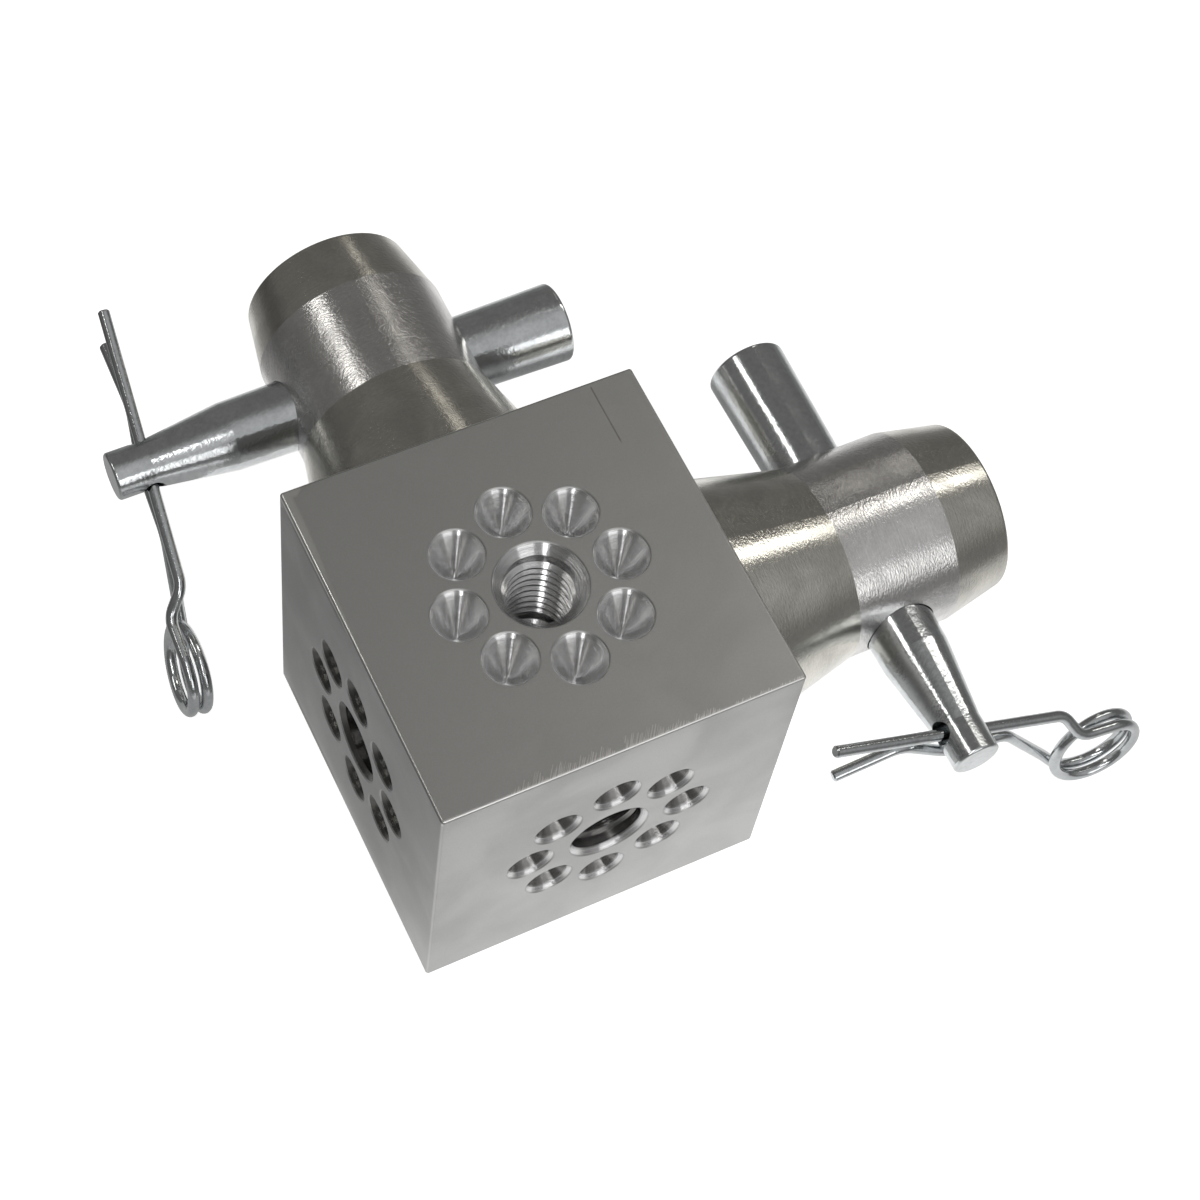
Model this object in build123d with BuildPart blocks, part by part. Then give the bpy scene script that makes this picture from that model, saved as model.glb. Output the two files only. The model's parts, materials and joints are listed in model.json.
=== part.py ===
from build123d import *
import os
from math import acos, atan2, cos, hypot, radians, sin, tan

os.makedirs("parts", exist_ok=True)

# A machined junction block for tube truss, with two half couplers bolted to its faces.
# Each coupler carries a tapered cross pin, and a spring clip keeps the pin from working out.
# The origin is the middle of the block's bottom face. +X and +Y run out along the two couplers.

# Block
block_side = 60.0
block_edge_round = 0.5

# Threaded hole in the middle of every face, at the thread's nominal size
thread_radius = 6.0
thread_runout = 2.5
hole_mouth_radius = 7.6
side_hole_mouth_radius = 7.0
hole_mouth_angle = 90.0
drill_point_angle = 118.0

# Ring of conical sockets around each threaded hole, each with a chamfered mouth
socket_ring_radius = 13.6
socket_count = 8
socket_mouth_radius = 4.6
side_socket_mouth_radius = 4.2
socket_chamfer = 0.75
socket_angle = 60.0

# Half coupler, as distances from the block's face and radii about its own axis
coupler_base_radius = 22.0
coupler_cone_length = 21.9
coupler_band_radius = 16.75
coupler_band_length = 18.6
coupler_nose_length = 11.0
coupler_nose_radius = 14.5
coupler_edge_round = 0.8
pin_distance = 30.0

# Cap screw and lock washer that hold a coupler
screw_clearance = 0.1
screw_length = 30.0
screw_head_radius = 9.0
screw_head_height = 12.0
screw_head_chamfer = 0.5
screw_socket_width = 10.0
screw_socket_depth = 6.0
screw_hole_radius = 6.75
head_room = 1.0
tool_bore_clearance = 1.0
washer_inner_radius = 6.5
washer_outer_radius = 9.0
washer_thickness = 1.5

# Pointed locating pin in the coupler's base
locating_radius = 3.0
locating_web = 1.0
locating_fit = 0.02
locating_clearance = 0.1
locating_blunt_radius = 0.4

# Tapered cross pin, measured from its thin end
pin_length = 81.5
pin_tip_radius = 4.1
pin_tip_length = 6.5
pin_lead_length = 14.0
pin_small_radius = 5.9
pin_large_radius = 7.0
pin_tip_round = 0.5
pin_butt_round = 0.7
pin_fit = 0.06
pin_seated_reach = 47.4
clip_hole_distance = 6.0
clip_hole_clearance = 0.95

# Spring clip, bent from round wire
wire_radius = 1.0
wire_end_chamfer = 0.25
clip_fit = 0.15
leg_reach = 26.0
leg_tail = 21.8
bend_radius = 4.0
coil_radius = 7.35
coil_gap = 0.4
coil_distance = 33.9
coil_drop = 9.8
coil_offset = -2.1
coil_start = 83.4
coil_turn = 580.0
coil_lead = 7.1
coil_exit = 4.0
wavy_run = 21.0
wavy_run_offset = 1.0
wavy_bend_radius = 6.0
wavy_hug_offset = 0.5
neck_distance = 10.5
neck_gap = 0.6
neck_offset = 0.8
wavy_reach = 22.0
wavy_spread = 8.0

# The two couplers: way out of the block, way the pin is pushed out, how far the pin stands
# back from its seat, how its clip is turned about the pin, tilted and rolled, how far the
# clip is pushed through the pin, and how far its wire lies to one side in the pin's hole
up = Vector(0, 0, 1)
block_centre = Vector(0, 0, block_side / 2)
arms = {
    "right": (Vector(1, 0, 0), Vector(0, 1, 0), 5.0, 160.0, 4.3, 7.3, -0.4, -0.6),
    "left": (Vector(0, 1, 0), Vector(1, 0, 0), 0.0, 21.6, 5.6, 7.3, 0.8, 0.2),
}

# Sizes that follow from the ones above
coupler_band_end = coupler_cone_length + coupler_band_length
coupler_length = coupler_band_end + coupler_nose_length
pin_taper = (pin_large_radius - pin_small_radius) / (pin_length - pin_tip_length - pin_lead_length)


def body_radius(distance):
    """Radius of the cross pin's long taper at a distance from its thin end"""
    return pin_small_radius + pin_taper * (distance - pin_tip_length - pin_lead_length)


middle_bore_radius = body_radius(pin_seated_reach) + pin_fit
coupler_base_thickness = (
    pin_distance - middle_bore_radius - head_room - screw_head_height - washer_thickness
)
screw_engagement = screw_length - coupler_base_thickness - washer_thickness
thread_depth = screw_engagement + thread_runout
drill_point_depth = thread_radius / tan(radians(drill_point_angle / 2))
socket_slope = tan(radians(socket_angle / 2))
tool_bore_radius = screw_head_radius + tool_bore_clearance
coil_pitch = 2 * wire_radius + coil_gap


def side_plane(origin, direction):
    """Plane whose X runs along a direction and whose Y points up"""
    return Plane(origin=origin, x_dir=direction, z_dir=direction.cross(up))


def touch_angle(point, radius, turn):
    """Angle, about the origin, at which a straight line from a point first touches a circle"""
    return atan2(point.Y, point.X) + turn * acos(radius / hypot(point.X, point.Y))


# Junction block. The mouths of its top and bottom faces are a little wider than the others.
top_mouths = (hole_mouth_radius, socket_mouth_radius)
side_mouths = (side_hole_mouth_radius, side_socket_mouth_radius)
faces = (
    (Vector(0, 0, 1), Vector(0, 1, 0), top_mouths),
    (Vector(0, 0, -1), Vector(0, 1, 0), top_mouths),
    (Vector(1, 0, 0), up, side_mouths),
    (Vector(-1, 0, 0), up, side_mouths),
    (Vector(0, 1, 0), up, side_mouths),
    (Vector(0, -1, 0), up, side_mouths),
)
downward = (Align.CENTER, Align.CENTER, Align.MAX)

with BuildPart() as junction_block:
    with Locations(block_centre):
        Box(block_side, block_side, block_side)
    fillet(junction_block.edges(), block_edge_round)
    for normal, across, (hole_mouth, socket_mouth) in faces:
        middle = block_centre + normal * (block_side / 2)
        socket_radius = socket_mouth - socket_chamfer
        with Locations(Plane(origin=middle, x_dir=normal.cross(across), z_dir=normal)):
            CounterSinkHole(
                radius=thread_radius,
                counter_sink_radius=hole_mouth,
                depth=thread_depth,
                counter_sink_angle=hole_mouth_angle,
            )
            with Locations((0, 0, -thread_depth)):
                Cone(0, thread_radius, drill_point_depth, align=downward, mode=Mode.SUBTRACT)
            with PolarLocations(socket_ring_radius, socket_count):
                Cone(
                    bottom_radius=socket_radius,
                    top_radius=socket_mouth,
                    height=socket_chamfer,
                    align=downward,
                    mode=Mode.SUBTRACT,
                )
                with Locations((0, 0, -socket_chamfer)):
                    Cone(
                        bottom_radius=0,
                        top_radius=socket_radius,
                        height=socket_radius / socket_slope,
                        align=downward,
                        mode=Mode.SUBTRACT,
                    )

junction_block.part.label = "junction_block"
export_step(junction_block.part, "parts/junction_block.step")

for side, placing in arms.items():
    out, pin_out, pin_back, leg_angle, leg_tilt, leg_roll, leg_push, leg_aside = placing
    seat = block_centre + out * (block_side / 2)
    arm_plane = side_plane(seat, out)
    arm_axis = Axis(seat, out)

    # Where the cross pin lies, seated in the taper and as it stands
    pin_middle = seat + out * pin_distance
    seated_plane = side_plane(pin_middle - pin_out * pin_seated_reach, pin_out)
    pin_plane = side_plane(pin_middle + pin_out * (pin_back - pin_seated_reach), pin_out)
    pin_axis = Axis(pin_middle, pin_out)

    # Half coupler, turned, with a tool bore for the cap screw and a tapered cross bore
    bore_start = pin_seated_reach - coupler_base_radius
    bore_end = pin_seated_reach + coupler_base_radius
    with BuildPart() as coupler:
        with BuildSketch(arm_plane):
            with BuildLine():
                Polyline(
                    (0, screw_hole_radius),
                    (0, coupler_base_radius),
                    (coupler_cone_length, coupler_band_radius),
                    (coupler_band_end, coupler_band_radius),
                    (coupler_length, coupler_nose_radius),
                    (coupler_length, tool_bore_radius),
                    (coupler_base_thickness, tool_bore_radius),
                    (coupler_base_thickness, screw_hole_radius),
                    close=True,
                )
            make_face()
        revolve(axis=arm_axis)
        nose_face = coupler.faces().sort_by(arm_axis)[-1]
        fillet(nose_face.edges(), coupler_edge_round)
        with BuildSketch(seated_plane):
            with BuildLine():
                Polyline(
                    (bore_start, 0),
                    (bore_start, body_radius(bore_start) + pin_fit),
                    (bore_end, body_radius(bore_end) + pin_fit),
                    (bore_end, 0),
                    close=True,
                )
            make_face()
        revolve(axis=pin_axis, mode=Mode.SUBTRACT)
        with Locations(Plane(origin=seat + up * socket_ring_radius, z_dir=-out)):
            Hole(locating_radius + locating_fit, depth=coupler_base_thickness - locating_web)

    coupler.part.label = side + "_coupler"
    export_step(coupler.part, "parts/" + side + "_coupler.step")

    # Cap screw, from inside the coupler into the block's thread
    head_seat = coupler_base_thickness + washer_thickness
    with BuildPart() as screw:
        with BuildSketch(arm_plane):
            with BuildLine():
                Polyline(
                    (-screw_engagement, 0),
                    (-screw_engagement, thread_radius - screw_clearance),
                    (head_seat, thread_radius - screw_clearance),
                    (head_seat, screw_head_radius),
                    (head_seat + screw_head_height, screw_head_radius),
                    (head_seat + screw_head_height, 0),
                    close=True,
                )
            make_face()
        revolve(axis=arm_axis)
        head_top = screw.faces().sort_by(arm_axis)[-1]
        chamfer(head_top.edges(), screw_head_chamfer)
        with BuildSketch(Plane(origin=head_top.center(), z_dir=out)):
            RegularPolygon(screw_socket_width / 2, side_count=6, major_radius=False)
        extrude(amount=-screw_socket_depth, mode=Mode.SUBTRACT)

    screw.part.label = side + "_fixing_screw"
    export_step(screw.part, "parts/" + side + "_fixing_screw.step")

    # Lock washer under the screw's head
    with BuildPart() as washer:
        with BuildSketch(Plane(origin=seat + out * coupler_base_thickness, z_dir=out)):
            Circle(washer_outer_radius)
            Circle(washer_inner_radius, mode=Mode.SUBTRACT)
        extrude(amount=washer_thickness)

    washer.part.label = side + "_lock_washer"
    export_step(washer.part, "parts/" + side + "_lock_washer.step")

    # Locating pin, whose point stands in one of the block's sockets
    locating_plane = side_plane(seat + up * socket_ring_radius, out)
    socket_narrowing = side_socket_mouth_radius - socket_chamfer - locating_radius
    point_start = locating_clearance - socket_chamfer - socket_narrowing / socket_slope
    point_end = point_start - (locating_radius - locating_blunt_radius) / socket_slope
    with BuildPart() as locating_pin:
        with BuildSketch(locating_plane):
            with BuildLine():
                Polyline(
                    (coupler_base_thickness - locating_web, 0),
                    (coupler_base_thickness - locating_web, locating_radius),
                    (point_start, locating_radius),
                    (point_end, locating_blunt_radius),
                    (point_end, 0),
                    close=True,
                )
            make_face()
        revolve(axis=Axis(locating_plane.origin, out))

    locating_pin.part.label = side + "_locating_pin"
    export_step(locating_pin.part, "parts/" + side + "_locating_pin.step")

    # Cross pin: short straight tip, steep lead, long slow taper, and a cross hole for the clip
    lead_end = pin_tip_length + pin_lead_length
    leg_across = out * cos(radians(leg_angle)) + up * sin(radians(leg_angle))
    crossing = pin_plane.origin + pin_out * clip_hole_distance
    with BuildPart() as cross_pin:
        with BuildSketch(pin_plane):
            with BuildLine():
                Polyline(
                    (0, 0),
                    (0, pin_tip_radius),
                    (pin_tip_length, pin_tip_radius),
                    (lead_end, pin_small_radius),
                    (pin_length, pin_large_radius),
                    (pin_length, 0),
                    close=True,
                )
            make_face()
        revolve(axis=pin_axis)
        end_faces = cross_pin.faces().filter_by(GeomType.PLANE).sort_by(pin_axis)
        fillet(end_faces[0].edges(), pin_tip_round)
        fillet(end_faces[-1].edges(), pin_butt_round)
        with Locations(Plane(origin=crossing, z_dir=leg_across)):
            Hole(wire_radius + clip_hole_clearance)

    cross_pin.part.label = side + "_cross_pin"
    export_step(cross_pin.part, "parts/" + side + "_cross_pin.step")

    # Spring clip: X runs along its straight leg from the pin's axis, Z along its coil's axis
    leg_way = leg_across * cos(radians(leg_tilt)) + pin_out * sin(radians(leg_tilt))
    coil_way = (pin_out - leg_way * pin_out.dot(leg_way)).rotate(Axis((0, 0, 0), leg_way), leg_roll)
    clip_plane = Plane(origin=crossing + pin_out * leg_aside, x_dir=leg_way, z_dir=coil_way)

    # The coil starts at a set angle about its axis
    start_way = Vector(cos(radians(coil_start)), sin(radians(coil_start)), 0)
    coil_centre = clip_plane.from_local_coords(
        Vector(leg_push - coil_distance, -coil_drop, coil_offset)
    )
    coil_x = clip_plane.from_local_coords(start_way) - clip_plane.origin
    coil_plane = Plane(origin=coil_centre, x_dir=coil_x, z_dir=coil_way)
    coil = coil_plane.location * Helix(coil_pitch, coil_pitch * coil_turn / 360, coil_radius)

    # The wavy leg lies against the pin: its bend there is an arc about the pin's axis
    hug_radius = pin_tip_radius + wire_radius + clip_fit
    run_end = clip_plane.to_local_coords(coil @ 1 + (coil % 1) * wavy_run)
    shoulder = Vector(run_end.X, run_end.Y, wavy_run_offset)
    neck = Vector(neck_distance, -2 * wire_radius - neck_gap, neck_offset)
    shoulder_touch = touch_angle(shoulder, hug_radius, 1)
    neck_touch = touch_angle(neck, hug_radius, -1)
    hug_middle = (shoulder_touch + neck_touch) / 2
    hug_corner = hug_radius / cos((neck_touch - shoulder_touch) / 2)
    hug_point = Vector(hug_corner * cos(hug_middle), hug_corner * sin(hug_middle), wavy_hug_offset)
    wavy_end = Vector(wavy_reach + leg_push, -wavy_spread, neck_offset)

    with BuildPart() as spring_clip:
        with BuildLine() as route:
            FilletPolyline(
                clip_plane.from_local_coords(Vector(leg_reach + leg_push, 0, 0)),
                clip_plane.from_local_coords(Vector(leg_push - leg_tail, 0, 0)),
                coil @ 0 - (coil % 0) * coil_lead,
                coil @ 0,
                radius=bend_radius,
            )
            add(coil)
            FilletPolyline(
                coil @ 1,
                coil @ 1 + (coil % 1) * coil_exit,
                clip_plane.from_local_coords(shoulder),
                clip_plane.from_local_coords(hug_point),
                clip_plane.from_local_coords(neck),
                clip_plane.from_local_coords(wavy_end),
                radius=(bend_radius, wavy_bend_radius, hug_radius, wavy_bend_radius),
            )
        with BuildSketch(Plane(origin=route.line @ 0, z_dir=route.line % 0)):
            Circle(wire_radius)
        sweep(path=route.line)
        wire_ends = spring_clip.faces().filter_by(GeomType.PLANE)
        chamfer(wire_ends.edges(), wire_end_chamfer)

    spring_clip.part.label = side + "_spring_clip"
    export_step(spring_clip.part, "parts/" + side + "_spring_clip.step")
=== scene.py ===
"""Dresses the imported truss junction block: thread ridges, metal finishes, camera and studio."""

import json
from math import hypot, pi, radians

import bmesh
import bpy
from mathutils import Euler, Matrix, Vector

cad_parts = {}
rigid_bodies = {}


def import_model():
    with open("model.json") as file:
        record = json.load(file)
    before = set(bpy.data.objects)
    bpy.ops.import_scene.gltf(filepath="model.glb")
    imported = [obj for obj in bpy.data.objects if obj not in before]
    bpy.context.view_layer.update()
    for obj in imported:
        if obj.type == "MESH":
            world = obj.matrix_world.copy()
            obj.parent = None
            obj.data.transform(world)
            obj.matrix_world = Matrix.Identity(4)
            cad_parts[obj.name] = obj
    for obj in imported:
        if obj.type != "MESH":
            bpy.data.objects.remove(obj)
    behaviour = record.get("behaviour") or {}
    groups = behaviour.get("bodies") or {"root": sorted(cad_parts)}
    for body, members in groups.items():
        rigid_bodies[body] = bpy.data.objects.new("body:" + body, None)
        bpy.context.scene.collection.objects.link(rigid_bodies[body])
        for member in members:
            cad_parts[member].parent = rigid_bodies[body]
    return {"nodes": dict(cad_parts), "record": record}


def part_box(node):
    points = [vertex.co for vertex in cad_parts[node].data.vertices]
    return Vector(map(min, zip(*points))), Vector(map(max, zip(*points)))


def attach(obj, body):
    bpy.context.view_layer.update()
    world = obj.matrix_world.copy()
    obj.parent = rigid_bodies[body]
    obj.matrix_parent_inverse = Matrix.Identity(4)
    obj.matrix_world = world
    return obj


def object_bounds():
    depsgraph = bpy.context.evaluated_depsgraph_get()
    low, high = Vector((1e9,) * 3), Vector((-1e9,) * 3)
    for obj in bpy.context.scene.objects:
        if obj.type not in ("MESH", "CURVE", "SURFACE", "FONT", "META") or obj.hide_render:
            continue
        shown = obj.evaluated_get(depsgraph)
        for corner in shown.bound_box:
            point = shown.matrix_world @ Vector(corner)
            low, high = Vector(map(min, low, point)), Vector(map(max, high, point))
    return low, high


bl_info = {
    "name": "Truss Junction Block",
    "version": (1, 0, 0),
    "blender": (4, 5, 0),
    "location": "View3D > Sidebar > Junction Block",
    "description": "Dresses the packed truss junction block with thread ridges, finishes and a studio",
    "category": "Object",
}

# The frame comes first, in an empty scene, so that sizes below can be read from it
for leftover in list(bpy.data.objects):
    bpy.data.objects.remove(leftover)

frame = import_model()
CAD_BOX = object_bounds()

MM = 0.001
MOUNTS = {mount["name"]: mount for mount in frame["record"]["mounts"]}
BLOCK_LOW, BLOCK_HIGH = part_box("junction_block")
BLOCK_CENTRE = (BLOCK_LOW + BLOCK_HIGH) / 2
BLOCK_HALF = (BLOCK_HIGH.x - BLOCK_LOW.x) / 2
OPEN_FACES = ("top", "bottom", "left", "front")
SIDES = ("right", "left")

# Distances from the block's centre between which a mask begins to cover an outer face
SKIN_START = BLOCK_HALF - 0.4 * MM
SKIN_FULL = BLOCK_HALF - 0.1 * MM

# Half width of a soft border between two finishes
SOFT_BORDER = 0.1 * MM

# Spreads a noise, mostly between 0.25 and 0.75, over -1 to 1
NOISE_SWING = 4.0

# Light blotches are glossier than dark ones
BLOTCH_GLOSS = -0.6

# Faces that meet at a greater angle keep a sharp edge
SHARP_ANGLE = radians(35)


# Sizes and colours a user may change


class ThreadSettings(bpy.types.PropertyGroup):
    """The ridges inside the block's threaded holes"""

    pitch: bpy.props.FloatProperty(
        name="Pitch",
        description="Distance between two turns of the thread",
        default=1.75 * MM,
        unit="LENGTH",
        precision=5,
    )
    root_radius: bpy.props.FloatProperty(
        name="Root radius",
        description="Radius at the foot of the ridge, just inside the wall of the hole",
        default=6.04 * MM,
        unit="LENGTH",
        precision=5,
    )
    crest_radius: bpy.props.FloatProperty(
        name="Crest radius",
        description="Radius at the top of the ridge",
        default=5.17 * MM,
        unit="LENGTH",
        precision=5,
    )
    first_depth: bpy.props.FloatProperty(
        name="First turn",
        description="Depth below the block's face at which the ridge starts",
        default=2.6 * MM,
        unit="LENGTH",
        precision=5,
    )
    first_turn: bpy.props.FloatProperty(
        name="Start angle",
        description="Where round the hole the ridge starts",
        default=radians(65),
        subtype="ANGLE",
    )
    last_depth: bpy.props.FloatProperty(
        name="Last turn",
        description="Depth below the block's face at which the ridge ends",
        default=20.4 * MM,
        unit="LENGTH",
        precision=5,
    )
    steps_per_turn: bpy.props.IntProperty(
        name="Steps per turn",
        description="Straight steps that make up one turn",
        default=40,
        min=12,
        subtype="UNSIGNED",
    )
    ease_steps: bpy.props.IntProperty(
        name="Run-in steps",
        description="Steps over which the ridge rises from the wall at each end",
        default=16,
        min=1,
        subtype="UNSIGNED",
    )


class BlockSettings(bpy.types.PropertyGroup):
    """The block's milled faces and bored holes"""

    face_colour: bpy.props.FloatVectorProperty(
        name="Milled face",
        description="Colour of the fine-milled faces",
        default=(0.475, 0.475, 0.47),
        subtype="COLOR",
    )
    bore_colour: bpy.props.FloatVectorProperty(
        name="Unshaded bores",
        description="Colour inside the holes of the top face, and of the rims of the other holes",
        default=(0.64, 0.64, 0.64),
        subtype="COLOR",
    )
    # Painted shade: bores of the front, back and bottom faces are darkened below their rims, and those of
    # the left and right faces darker still
    shaded_side_bore_colour: bpy.props.FloatVectorProperty(
        name="Shaded bores",
        description="Colour inside the holes of the front, back and bottom faces, darkened by painted shade",
        default=(0.28, 0.275, 0.27),
        subtype="COLOR",
    )
    shaded_left_bore_colour: bpy.props.FloatVectorProperty(
        name="Left bores",
        description="Colour inside the holes of the left and right faces, which are the darkest",
        default=(0.12, 0.118, 0.112),
        subtype="COLOR",
    )
    face_roughness: bpy.props.FloatProperty(
        name="Face roughness",
        description="Roughness of the fine-milled faces",
        default=0.42,
        subtype="FACTOR",
    )
    bore_roughness: bpy.props.FloatProperty(
        name="Bore roughness",
        description="Roughness inside the threaded holes and sockets",
        default=0.14,
        subtype="FACTOR",
    )
    bore_spread: bpy.props.FloatProperty(
        name="Turning marks",
        description="How far the fine turning marks draw reflections out along each bore",
        default=2.5,
        subtype="FACTOR",
    )
    relief: bpy.props.FloatProperty(
        name="Relief",
        description="Height that the grain and the scribed line are measured by",
        default=0.02 * MM,
        unit="LENGTH",
        precision=5,
    )
    grain_depth: bpy.props.FloatProperty(
        name="Grain depth",
        description="Depth of the grain, in units of the relief",
        default=0.20,
        subtype="FACTOR",
    )


class WearAndHighlightSettings(bpy.types.PropertyGroup):
    """The painted highlight along the block's edges, the rubbed edge, the chips, the dark line under the
    rubbed edge and the scribed line
    """

    # Painted highlight: the thin bright line along the block's edges stands in for light caught by the
    # rounded edges
    edge_highlight_colour: bpy.props.FloatVectorProperty(
        name="Edge highlight",
        description="Colour of the thin bright line along the block's edges",
        default=(0.74, 0.73, 0.71),
        subtype="COLOR",
    )
    rubbed_colour: bpy.props.FloatVectorProperty(
        name="Rubbed edge",
        description="Colour of the rubbed edge between the top and the left face",
        default=(0.80, 0.80, 0.78),
        subtype="COLOR",
    )
    under_edge_colour: bpy.props.FloatVectorProperty(
        name="Under-edge line",
        description="Colour of the dark line on the left face, under the rubbed edge",
        default=(0.27, 0.265, 0.25),
        subtype="COLOR",
    )
    scratch_colour: bpy.props.FloatVectorProperty(
        name="Scratch",
        description="Colour of the scribed line on the top face",
        default=(0.30, 0.28, 0.27),
        subtype="COLOR",
    )
    edge_width: bpy.props.FloatProperty(
        name="Edge line",
        description="Width of the bright line along the block's edges",
        default=0.35 * MM,
        unit="LENGTH",
        precision=5,
    )
    rubbed_width: bpy.props.FloatProperty(
        name="Rubbed width",
        description="How much wider the bright line is where the edge is rubbed most",
        default=1.5 * MM,
        unit="LENGTH",
        precision=5,
    )
    upright_share: bpy.props.FloatProperty(
        name="Upright edges",
        description="Share of the bright line that shows on the edges below the top face",
        default=0.3,
        subtype="FACTOR",
    )
    polish: bpy.props.FloatProperty(
        name="Polish",
        description="How much less rough the worn places are",
        default=0.12,
        subtype="FACTOR",
    )
    chip_strength: bpy.props.FloatProperty(
        name="Chip strength",
        description="How bright the torn chips along the front edge are",
        default=0.8,
        subtype="FACTOR",
    )
    chip_width: bpy.props.FloatProperty(
        name="Chip width",
        description="Width of one streak of the torn chips",
        default=0.26 * MM,
        unit="LENGTH",
        precision=5,
    )
    chip_patch: bpy.props.FloatProperty(
        name="Chip patches",
        description="Distance along the edge over which the chips grow longer or shorter",
        default=3 * MM,
        unit="LENGTH",
        precision=5,
    )
    chip_slant: bpy.props.FloatProperty(
        name="Chip slant",
        description="How far the chips lean to the right, for each step away from the front edge",
        default=0.7,
        subtype="FACTOR",
    )
    shortest_chip: bpy.props.FloatProperty(
        name="Shortest chip",
        description="Length of the streaks where the chips are short",
        default=0.35 * MM,
        unit="LENGTH",
        precision=5,
    )
    longest_chip: bpy.props.FloatProperty(
        name="Longest chip",
        description="Length of the streaks where the chips are long",
        default=2.2 * MM,
        unit="LENGTH",
        precision=5,
    )
    scratch_start: bpy.props.FloatVectorProperty(
        name="Scratch start",
        description="Inner end of the scribed line on the top face",
        default=(22.4 * MM, 17.8 * MM, 60 * MM),
        subtype="TRANSLATION",
        unit="LENGTH",
    )
    scratch_length: bpy.props.FloatProperty(
        name="Scratch length",
        description="Length of the scribed line, which runs out to the back edge",
        default=11.0 * MM,
        unit="LENGTH",
        precision=5,
    )
    scratch_width: bpy.props.FloatProperty(
        name="Scratch width",
        description="Half width of the scribed line, with its soft sides",
        default=0.2 * MM,
        unit="LENGTH",
        precision=5,
    )
    scratch_depth: bpy.props.FloatProperty(
        name="Scratch depth",
        description="Depth of the scribed line, in units of the block's relief",
        default=2.0,
        subtype="FACTOR",
    )


class CouplerSettings(bpy.types.PropertyGroup):
    """The two half couplers"""

    turned_colour: bpy.props.FloatVectorProperty(
        name="Turned surface",
        description="Colour of the polished cone and nose",
        default=(0.62, 0.605, 0.555),
        subtype="COLOR",
    )
    band_colour: bpy.props.FloatVectorProperty(
        name="Band",
        description="Colour of the satin band between cone and nose",
        default=(0.68, 0.67, 0.66),
        subtype="COLOR",
    )
    turned_roughness: bpy.props.FloatProperty(
        name="Turned roughness",
        description="Roughness of the polished cone and nose",
        default=0.17,
        subtype="FACTOR",
    )
    band_roughness: bpy.props.FloatProperty(
        name="Band roughness",
        description="Roughness of the satin band",
        default=0.21,
        subtype="FACTOR",
    )
    band_start: bpy.props.FloatProperty(
        name="Band start",
        description="Distance of the band's inner edge from the block's face",
        default=21.9 * MM,
        unit="LENGTH",
        precision=5,
    )
    band_end: bpy.props.FloatProperty(
        name="Band end",
        description="Distance of the band's outer edge from the block's face",
        default=40.5 * MM,
        unit="LENGTH",
        precision=5,
    )
    grain_draw: bpy.props.FloatProperty(
        name="Grain draw",
        description="How many times longer the grain is round the coupler than along it",
        default=2.4,
        subtype="FACTOR",
    )
    relief: bpy.props.FloatProperty(
        name="Relief",
        description="Height of the grain and the turning rings",
        default=0.07 * MM,
        unit="LENGTH",
        precision=5,
    )


class ZincSettings(bpy.types.PropertyGroup):
    """The cross pins and their spring clips"""

    pin_colour: bpy.props.FloatVectorProperty(
        name="Pin",
        description="Colour of the zinc plating on the cross pins",
        default=(0.66, 0.68, 0.69),
        subtype="COLOR",
    )
    wire_colour: bpy.props.FloatVectorProperty(
        name="Wire",
        description="Colour of the zinc plating on the spring clips",
        default=(0.58, 0.60, 0.61),
        subtype="COLOR",
    )
    pin_roughness: bpy.props.FloatProperty(
        name="Pin roughness",
        description="Roughness of the cross pins",
        default=0.15,
        subtype="FACTOR",
    )
    wire_roughness: bpy.props.FloatProperty(
        name="Wire roughness",
        description="Roughness of the spring clips",
        default=0.13,
        subtype="FACTOR",
    )
    pin_relief: bpy.props.FloatProperty(
        name="Pin relief",
        description="Height of the orange-peel grain on the cross pins",
        default=0.035 * MM,
        unit="LENGTH",
        precision=5,
    )
    wire_relief: bpy.props.FloatProperty(
        name="Wire relief",
        description="Height of the orange-peel grain on the spring clips",
        default=0.025 * MM,
        unit="LENGTH",
        precision=5,
    )


class HardwareSettings(bpy.types.PropertyGroup):
    """The screws, washers and locating pins inside the couplers"""

    steel_colour: bpy.props.FloatVectorProperty(
        name="Steel",
        description="Colour of the fixing screws, lock washers and locating pins",
        default=(0.42, 0.42, 0.43),
        subtype="COLOR",
    )
    steel_roughness: bpy.props.FloatProperty(
        name="Steel roughness",
        description="Roughness of the fixing screws, lock washers and locating pins",
        default=0.34,
        subtype="FACTOR",
    )
    steel_relief: bpy.props.FloatProperty(
        name="Steel relief",
        description="Height of the grain on the fixing screws, lock washers and locating pins",
        default=0.01 * MM,
        unit="LENGTH",
        precision=5,
    )


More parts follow.
